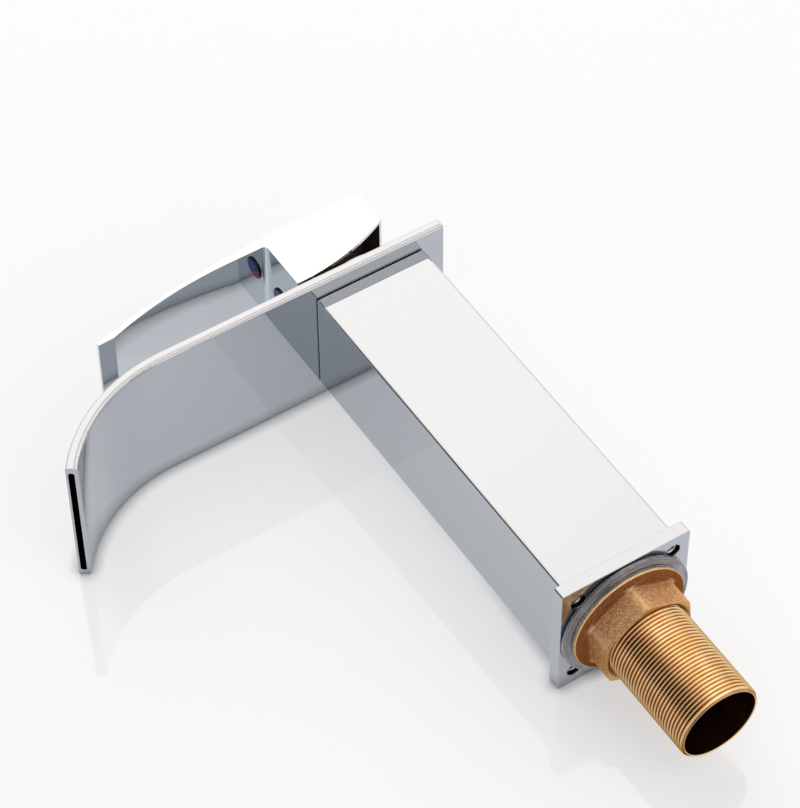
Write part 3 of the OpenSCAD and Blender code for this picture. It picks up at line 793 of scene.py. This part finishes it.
        grid = turned(profile, self.nut_columns, shape)
        height = grid[..., 2]
        skin = outer & (height < top - 0.2) & (height > low + 0.2)
        cast = sum(wavy(grid, size, seed) * depth for size, seed, depth in self.nut_skin)
        grid = pushed(grid, cast * skin - self.nut_skin[0][2] * skin)
        reach = np.hypot(grid[..., 0], grid[..., 1])
        angle = np.arctan2(grid[..., 1], grid[..., 0]) - math.radians(self.nut_angle)
        away = np.abs(np.mod(angle, SIXTH) - 0.5 * SIXTH) / (0.5 * SIXTH)
        # wear and painted highlight on the corners, the rim's outer edge and the foot's edge
        corner = unit((away - self.nut_wear_and_highlight_from) / (1.0 - self.nut_wear_and_highlight_from))
        corner = self.nut_wear_and_highlight[0] * corner * (outer & (height < shoulder + 0.1))
        rim = unit((reach - self.nut_rim_r + 0.3) / 0.2)
        foot_edge = self.nut_wear_and_highlight[1] * unit(1.0 - np.abs(height - low - 0.1) / 0.35) * outer
        even, random = self.nut_wear_and_highlight_uneven
        wear_and_highlight = np.maximum(np.maximum(corner, rim), foot_edge)
        wear_and_highlight = unit(wear_and_highlight * (even + random * wavy(grid, self.nut_wear_and_highlight_mm, 13)))
        # painted shade on the cone under the rim, kept off the rim's outer edge
        cone_shade = unit((rim_low - height + 0.25) / 0.2) * unit((height - shoulder + 1.3) / 1.2)
        cone_shade = cone_shade * outer * self.nut_cone_shade * (1.0 - rim)
        return Surface("nut_cast", wear_and_highlight=wear_and_highlight, cone_shade=cone_shade).patch(grid, hoop=True).build(50.0)

    def ring(self) -> Piece:
        """Builds the seal ring: a flat band, two fine ridges and a round bead, slightly uneven.

        Returns:
            The ring's object.
        """
        top, bead, low, edge = self.ring_top, self.ring_bead, self.ring_low, self.ring_r
        line = rounded([
            (self.ring_bore_r, top - 0.3, 0), (self.ring_bore_r, top, 0.15), (edge - 1.3, top, 0.2),
            (edge - 0.9, top, 0.3), (edge, top - 0.35, 0.5), (edge, bead + 0.45, 0.6),
            (edge - 0.7, bead, 0.5), (edge - 1.3, bead + 0.35, 0.2), (edge - 1.9, bead + 0.3, 0.2),
            (edge - 2.5, bead, 0.25), (self.ring_lip_r + 0.35, bead, 0.12),
            (self.ring_lip_r, bead - 0.15, 0.1), (self.ring_lip_r - 0.1, low, 0.2),
            (self.ring_bore_r, low, 0.2), (self.ring_bore_r, low + 0.3, 0)], 5)
        grid = turned(line, self.ring_columns)
        outer = unit((np.hypot(grid[..., 0], grid[..., 1]) - self.ring_lip_r - 0.4) / 2.0)
        grid = pushed(grid, -self.ring_uneven * (0.5 + wavy(grid, self.ring_wave_mm, 21)) * outer)
        return Surface("seal_ring_silicone").patch(grid, hoop=True).build(70.0)

    def screws(self) -> Piece:
        """Builds the four flange screws: round heads with hexagon sockets and cut threads.

        Returns:
            One object with the four screws.
        """
        top, head_low, head_r, thread_r, end = 3.4, 1.2, 2.8, 1.5, 15.4
        flat, socket_top, socket_rows, thread_rows = 1.25, 2.2, 9, 150
        head = rounded([
            (POLE_R, socket_top, 0), (flat, socket_top, 0.1), (flat, head_low + 0.25, 0.1),
            (flat + 0.3, head_low, 0.1), (head_r, head_low, 0.55), (head_r, top, 0.15),
            (thread_r, top, 0.1), (thread_r, top + 0.3, 0)], 5)
        cut = np.stack([np.full(thread_rows, thread_r),
                        np.linspace(top + 0.35, end - 0.4, thread_rows)], 1)
        profile = np.vstack([head, cut, [[thread_r - 0.4, end], [POLE_R, end]]])
        row = np.arange(len(profile))[:, None]
        in_socket = row < socket_rows
        in_thread = (row >= len(head)) & (row < len(head) + thread_rows)

        def shape(reach: np.ndarray, angle: np.ndarray, height: np.ndarray) -> np.ndarray:
            """Gives the socket its six flats and the shank its thread."""
            hexagon = reach / np.cos(np.mod(angle, SIXTH) - 0.5 * SIXTH)
            relief = thread_relief(angle, height, self.screw_pitch)
            groove = reach - self.screw_thread_depth * (1.0 - relief)
            return np.where(in_socket, hexagon, np.where(in_thread, groove, reach))

        one = turned(profile, self.screw_columns, shape)
        surface = Surface("flange_screws_socket")
        for side in ((-1.0, -1.0, 0.0), (-1.0, 1.0, 0.0), (1.0, -1.0, 0.0), (1.0, 1.0, 0.0)):
            surface.patch(one + SCREW_OFFSET * np.array(side))
        return surface.build(35.0, POLE_MERGE)

    def assemble(self) -> None:
        """Builds, dresses and places the mounting pieces."""
        # the shank's layer holds the tarnished grooves and bore, and painted shade on one side
        turned_brass = BareBrass("brass_turned_thread", "#FCE5BC", "#F2CE96", (0.12, 0.24), 0.35,
                                 0.012, 7.0, "#9A6E40", (("tarnish_and_shade", "#884604"),)).material()
        # painted shade: the nut's first layer darkens its cone under the rim
        cast_brass = BareBrass("brass_sand_cast", "#FFE8BE", "#FAC28C", (0.30, 0.52), 0.5, 0.15,
                               1.6, "#D89A64", (("cone_shade", "#A07450"), (None, "#98683C"),
                                                # wear and painted highlight on the nut's corners
                                                # and edges
                                                ("wear_and_highlight", "#FFE0AC"))).material()
        place(dress(self.shank(), turned_brass), "faucet_body", "shank", Slot.SHANK)
        place(dress(self.nut(), cast_brass), "nut", "mounting_nut", Slot.NUT)
        place(dress(self.ring(), Silicone().material()), "ring", "seal_ring", Slot.SILICONE)
        place(dress(self.screws(), TurnedSteel().material()), "faucet_body", "flange_screws",
              Slot.SCREW)


@dataclass
class IndexPlug:
    """Round plug in the front of the handle block: a blue and a red part printed on; its side is
    black, painted shade of its seat's gap.
    """

    radius: float = 4.5
    front: float = -24.3
    back: float = -21.6
    height: float = 187.05
    split: float = -1.7
    slant: float = 0.5
    groove_half: float = 0.35
    groove_depth: float = 0.12
    groove_end: float = 0.35
    print_r: float = 4.2
    print_end: float = 0.15
    columns: int = 96

    def build(self) -> Piece:
        """Builds the plug: a flat face turned about Y, with a fine groove between its parts.

        Returns:
            The plug's object with slots for the cold part, the hot part and the black side of
            painted shade.
        """
        deep = self.back - self.front
        line = rounded([(POLE_R, 0.0, 0), (self.radius - 0.5, 0.0, 0.4), (self.radius, 0.2, 0.15),
                        (self.radius, deep, 0.1), (POLE_R, deep, 0)], 8)
        face = line[:1] + np.linspace(0.0, 1.0, 7)[1:-1, None] * (line[1:2] - line[:1])
        spin = turned(np.vstack([line[:1], face, line[1:]]), self.columns)
        across, up, out = np.moveaxis(spin, -1, 0)
        beside = np.abs(across - self.slant * up - self.split) / self.groove_half
        groove = self.groove_depth * unit(1.0 - beside) * (out < self.groove_end)
        grid = np.stack([across, self.front + out + groove, self.height + up], axis=-1)
        piece = Surface("index_plug_halves").patch(grid).build(50.0, POLE_MERGE)
        centres = np.empty(len(piece.data.polygons) * 3, np.float32)
        piece.data.polygons.foreach_get("center", centres)
        across, out, up = (centres.reshape(-1, 3) / MM - (0.0, self.front, self.height)).T
        hot = across - self.slant * up < self.split
        # painted shade: the side and the face's edge outside the print are black, for the shadow of
        # the seat's gap
        wall = (out > self.print_end) | (np.hypot(across, up) > self.print_r)
        piece.data.polygons.foreach_set("material_index",
                                        np.where(wall, 2, hot).astype(np.int32))
        return piece

    def assemble(self) -> None:
        """Builds, dresses and places the plug."""
        finishes = (
            Moulded("abs_gloss_printed_blue", "#00409E", "#003486", 0.24, 1.4, 0.6, 0.004),
            Moulded("abs_gloss_printed_red", "#BE2A26", "#9C1F1C", 0.24, 1.4, 0.6, 0.004),
            # black for the painted shade of the seat's gap
            Moulded("abs_black_painted_gap_shade", "#0B0B0D", "#060607", 0.35, 1.46, 0.4, 0.004))
        materials = [finish.material() for finish in finishes]
        place(dress(self.build(), *materials), "lever", "index_plug", Slot.INDEX)


@dataclass
class Bodywork:
    """Chrome-plated castings and the spout, which keep their solids, and the bonnet."""

    finishes: Finishes = (
        (PolishedChrome("chrome_plate_on_column", edge_mm=1.1, edge_rays=12), ("body_column",)),
        (FlangeChrome(), ("base_flange",)),
        (PolishedChrome("chrome_plate_on_spout", edge_mm=0.9), ("spout_shell", "spout_floor")),
        (HandleChrome(), ("lever_handle",)))
    bonnet_r: float = 22.2
    bonnet_seat_r: float = 20.0
    bonnet_bore_r: float = 14.6
    bonnet_low: float = 166.0
    bonnet_lip: float = 170.8
    bonnet_top: float = 172.4
    bonnet_edge_r: float = 0.5
    bonnet_columns: int = 240

    def bonnet(self) -> Piece:
        """Builds the clamping ring on the spout: a straight wall, a tight shoulder and a lip."""
        seat, low, lip, top = self.bonnet_seat_r, self.bonnet_low, self.bonnet_lip, self.bonnet_top
        middle = 0.5 * (low + lip)
        line = rounded([
            (seat, middle, 0), (seat, low, 0.1), (self.bonnet_r, low, 0.2),
            (self.bonnet_r, top, self.bonnet_edge_r), (self.bonnet_bore_r, top, 0.2),
            (self.bonnet_bore_r, lip, 0.1), (seat, lip, 0.1), (seat, middle + 0.1, 0)], 6)
        ring = turned(line, self.bonnet_columns)
        return Surface("bonnet_ring_turned").patch(ring, hoop=True).build(35.0)

    def assemble(self) -> None:
        """Dresses the chrome nodes and builds the bonnet."""
        dress_nodes(self.finishes)
        chrome = PolishedChrome("chrome_plate_on_bonnet", edge_mm=0.3).material()
        place(dress(self.bonnet(), chrome), "faucet_body", "bonnet", Slot.CHROME)


@dataclass
class Cartridge:
    """Ceramic-disc cartridge, its seals, spindle and fasteners, held inside the body."""

    finishes: Finishes = (
        (BareBrass("brass_machined", "#DDB56E", "#C29A58", (0.18, 0.3), 0.4, 0.01, 5.0),
         ("retaining_nut", "spindle")),
        (Moulded("acetal_moulded_ivory", "#D9D4C4", "#CFC9B7", 0.4, 1.48, 0.5, 0.01, 0.15),
         ("cartridge_housing", "turning_carrier")),
        (Moulded("acetal_moulded_white", "#E3E3E0", "#D8D8D4", 0.38, 1.48, 0.5, 0.01, 0.15),
         ("cartridge_base", "disc_coupler")),
        (Moulded("alumina_lapped", "#E9E5DA", "#DED8CA", 0.16, 1.76, 0.15, 0.002),
         ("fixed_disc", "moving_disc")),
        (Moulded("nitrile_rubber_moulded", "#1B1B1C", "#111112", 0.5, 1.52, 0.3, 0.01),
         ("port_seals", "disc_seals", "collar_seal", "spout_gasket")),
        (TurnedSteel("stainless_steel_pins"), ("pivot_pin", "set_screw")))

    def assemble(self) -> None:
        """Dresses the cartridge's nodes."""
        dress_nodes(self.finishes)


@dataclass(frozen=True)
class Softbox:
    """Patch of the studio's sky: a direction, the cosines of its inner and outer edge, a light."""

    way: tuple[float, float, float]
    inner: float
    outer: float
    light: float


@dataclass
class Studio:
    """White acrylic floor, sky of soft boxes and the camera, at the photograph's angle."""

    camera_rows: tuple[tuple[float, float, float], ...] = (
        (-0.0070, 0.8403, -0.5420), (-0.6408, -0.4199, -0.6427), (-0.7677, 0.3428, 0.5414))
    camera_shift: tuple[float, float, float] = (76.79, 71.03, 1103.56)
    lens: float = 144.354
    sensor: float = 36.0
    clip: tuple[float, float] = (0.01, 50.0)
    floor_touch: tuple[tuple[float, float], ...] = ((-26.5, 0.0), (-30.0, 134.6))
    floor_half: float = 6000.0
    floor_gloss: float = 0.015
    floor_ior: float = 1.49
    floor_colour: str = "#FBF8FA"
    floor_lift: float = 0.32
    floor_contact_mm: float = 16.0
    seen_colour: str = "#A0A6AE"
    seen_lift: float = 0.53
    seen_contact_mm: float = 5.0
    sky: float = 0.90
    sky_tint: str = "#FFF7ED"
    boxes: tuple[Softbox, ...] = (
        Softbox((0.70, 0.35, 0.62), 0.96, 0.62, 0.80),
        Softbox((0.70, 0.35, 0.62), 1.0, 0.965, 0.26),
        Softbox((0.55, 0.2, -0.81), 0.90, 0.75, 0.65))
    flags: tuple[Softbox, ...] = (
        Softbox((0.37, -0.80, 0.46), 0.95, 0.85, 1.0),
        Softbox((0.93, 0.37, 0.0), 0.99, 0.955, 0.6),
        Softbox((0.806, -0.373, -0.46), 0.97, 0.90, 0.7))

    def camera(self) -> None:
        """Sets the camera: its axes are the rows of the view's turn, with Y and Z turned round."""
        rows = np.array(self.camera_rows)
        eye = -rows.T @ np.array(self.camera_shift) * MM
        data = bpy.data.cameras.new("camera")
        data.lens, data.sensor_width, data.sensor_fit = self.lens, self.sensor, "HORIZONTAL"
        data.clip_start, data.clip_end = self.clip
        camera = bpy.data.objects.new("camera", data)
        matrix = np.eye(4)
        matrix[:3] = np.stack([rows[0], -rows[1], -rows[2], eye], axis=1)
        camera.matrix_world = Matrix(matrix.tolist())
        bpy.context.scene.collection.objects.link(camera)
        bpy.context.scene.camera = camera

    def floor(self) -> None:
        """Lays the floor under the faucet's left side, through its two lines of touch."""
        (x0, z0), (x1, z1) = self.floor_touch
        slope = (x1 - x0) / (z1 - z0)
        along = self.floor_half * np.array([slope, 0.0, 1.0]) / math.hypot(slope, 1.0)
        across = self.floor_half * np.array([0.0, 1.0, 0.0])
        middle = np.array([x0, 0.0, z0])
        points = [(middle + a * across + b * along) * MM
                  for a, b in ((-1, -1), (1, -1), (1, 1), (-1, 1))]
        mesh = bpy.data.meshes.new("studio_floor")
        mesh.from_pydata(np.array(points).tolist(), [], [(0, 1, 2, 3)])
        mesh.update()
        floor = bpy.data.objects.new("studio_floor", mesh)
        bpy.context.scene.collection.objects.link(floor)
        dress(floor, self.floor_material())

    def seen_share(self, tree: Tree, *rays: str) -> Source:
        """One on the Light Path node's rays of the names given, and zero on others."""
        path = node(tree, "ShaderNodeLightPath")
        share = path.outputs[rays[0]]
        for ray in rays[1:]:
            share = node(tree, "ShaderNodeMath", {"operation": "MAXIMUM"},
                         {0: share, 1: path.outputs[ray]})
        return share

    def floor_material(self) -> Material:
        """White acrylic: a pale body with a clear gloss, clear from behind.

        Where it is seen, also in metal and through silicone, its colour is lifted towards
        white and keeps the shadow. Its soft light on the faucet comes from a plainer look.
        Both are darker where the faucet is close, within the contact's distance.

        Returns:
            The floor's material.
        """
        material = bpy.data.materials.new("acrylic_gloss_white")
        tree = fresh_tree(material)
        seen = self.seen_share(tree, "Is Camera Ray", "Is Glossy Ray", "Is Transmission Ray")
        looks = []
        for colour, lift, contact in ((self.floor_colour, self.floor_lift, self.floor_contact_mm),
                                      (self.seen_colour, self.seen_lift, self.seen_contact_mm)):
            open_to = node(tree, "ShaderNodeAmbientOcclusion",
                           {"samples": 4, "Distance": contact * MM, "Color": linear(colour)})
            body = node(tree, "ShaderNodeBsdfPrincipled",
                        {"Roughness": self.floor_gloss, "IOR": self.floor_ior},
                        {"Base Color": open_to})
            glow = node(tree, "ShaderNodeEmission", {"Strength": lift},
                        {"Color": open_to.outputs["AO"]})
            looks.append(node(tree, "ShaderNodeAddShader", links={0: body, 1: glow}))
        lit = node(tree, "ShaderNodeMixShader", links={0: seen, 1: looks[0], 2: looks[1]})
        side = node(tree, "ShaderNodeNewGeometry")
        clear = node(tree, "ShaderNodeBsdfTransparent")
        whole = node(tree, "ShaderNodeMixShader",
                     links={0: side.outputs["Backfacing"], 1: lit, 2: clear})
        node(tree, "ShaderNodeOutputMaterial", links={"Surface": whole})
        return material

    def world(self) -> None:
        """Builds the sky: an even tone with soft boxes added and dark flags held in front.

        Each box is the dot product of the ray's direction with the box's own, smoothly
        stepped between its outer and inner edge, times its light. The camera, also through
        silicone, sees plain white instead.
        """
        world = bpy.context.scene.world = bpy.data.worlds.new("studio_sky")
        tree = fresh_tree(world)
        ray = node(tree, "ShaderNodeTexCoord").outputs["Generated"]

        def window(box: Softbox) -> Node:
            """Share of a box seen along the ray, from zero to one."""
            way = np.array(box.way) / np.linalg.norm(box.way)
            dot = node(tree, "ShaderNodeVectorMath",
                       {"operation": "DOT_PRODUCT", 1: tuple(way)}, {0: ray})
            return node(tree, "ShaderNodeMapRange",
                        {"interpolation_type": "SMOOTHSTEP", "From Min": box.outer,
                         "From Max": box.inner}, {"Value": dot})

        light = node(tree, "ShaderNodeValue")
        light.outputs[0].default_value = self.sky
        for box in self.boxes:
            light = node(tree, "ShaderNodeMath", {"operation": "MULTIPLY_ADD", 1: box.light},
                         {0: window(box), 2: light})
        for flag in self.flags:
            shade = node(tree, "ShaderNodeMath",
                         {"operation": "MULTIPLY_ADD", 1: -flag.light, 2: 1.0},
                         {0: window(flag)})
            light = node(tree, "ShaderNodeMath", {"operation": "MULTIPLY"}, {0: light, 1: shade})
        studio = node(tree, "ShaderNodeBackground", {"Color": linear(self.sky_tint)},
                      {"Strength": light})
        white = node(tree, "ShaderNodeBackground", {"Color": (1, 1, 1, 1), "Strength": 1.0})
        seen = self.seen_share(tree, "Is Camera Ray", "Is Transmission Ray")
        whole = node(tree, "ShaderNodeMixShader", links={0: seen, 1: studio, 2: white})
        node(tree, "ShaderNodeOutputWorld", links={"Surface": whole})

    def assemble(self) -> None:
        """Sets the camera, the floor and the sky."""
        self.camera()
        self.floor()
        self.world()
        bpy.context.scene.view_settings.view_transform = "Standard"


def main() -> None:
    """Builds the sub-assemblies in order."""
    logging.basicConfig(level=logging.INFO, format="%(name)s: %(message)s")
    for assembly in (Studio(), Bodywork(), Cartridge(), Mounting(), IndexPlug()):
        LOG.info("assembly %s", type(assembly).__name__)
        assembly.assemble()


if __name__ == "__main__":
    main()
